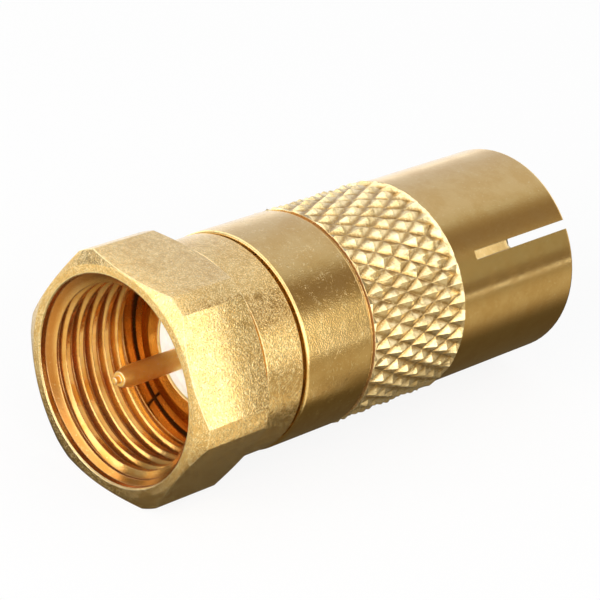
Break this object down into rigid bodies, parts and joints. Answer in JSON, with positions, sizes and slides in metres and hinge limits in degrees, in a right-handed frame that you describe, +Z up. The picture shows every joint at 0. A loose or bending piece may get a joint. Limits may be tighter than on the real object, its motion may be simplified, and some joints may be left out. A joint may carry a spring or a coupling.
{
  "type": "f connector",
  "caption": "Coaxial adapter: a captive hexagonal coupling nut round a centre pin at one end, a diamond-knurled grip, and a slotted push-on socket at the other.",
  "frame": {"origin": "on the surface the adapter lies on, under the middle of its length and of its width", "axes": "+X along the adapter's axis, from the mouth of the coupling nut to the end of the push-on sleeve; +Z up, through the middle of the top flat of the nut"},
  "size_m": [0.0264, 0.0122, 0.011],
  "materials": {
    "tumbled_gold": "thin gold plate over tumbled brass, satin with fine scratches and bright worn edges",
    "satin_gold": "thin gold plate over turned brass, smooth satin",
    "knurled_gold": "thin pale gold plate over turned and knurled brass, bright satin",
    "spring_ring": "dull gold-plated spring bronze",
    "pin_gold": "matt gold plate, fine grained",
    "white_plastic": "white moulded insulator, slightly waxy"
  },
  "bodies": {
    "adapter": {"front_body": "satin_gold", "rear_body": "knurled_gold", "retaining_ring": "spring_ring", "front_insulator": "white_plastic", "rear_insulator": "white_plastic", "centre_pin": "pin_gold", "socket_contact": "pin_gold"},
    "nut": {"coupling_nut": "tumbled_gold"}
  },
  "joints": [
    {"name": "nut_spin", "type": "hinge", "parent": "adapter", "child": "nut", "pos_m": [-0.00965, 0, 0.0055], "axis": [1, 0, 0], "continuous": true}
  ]
}
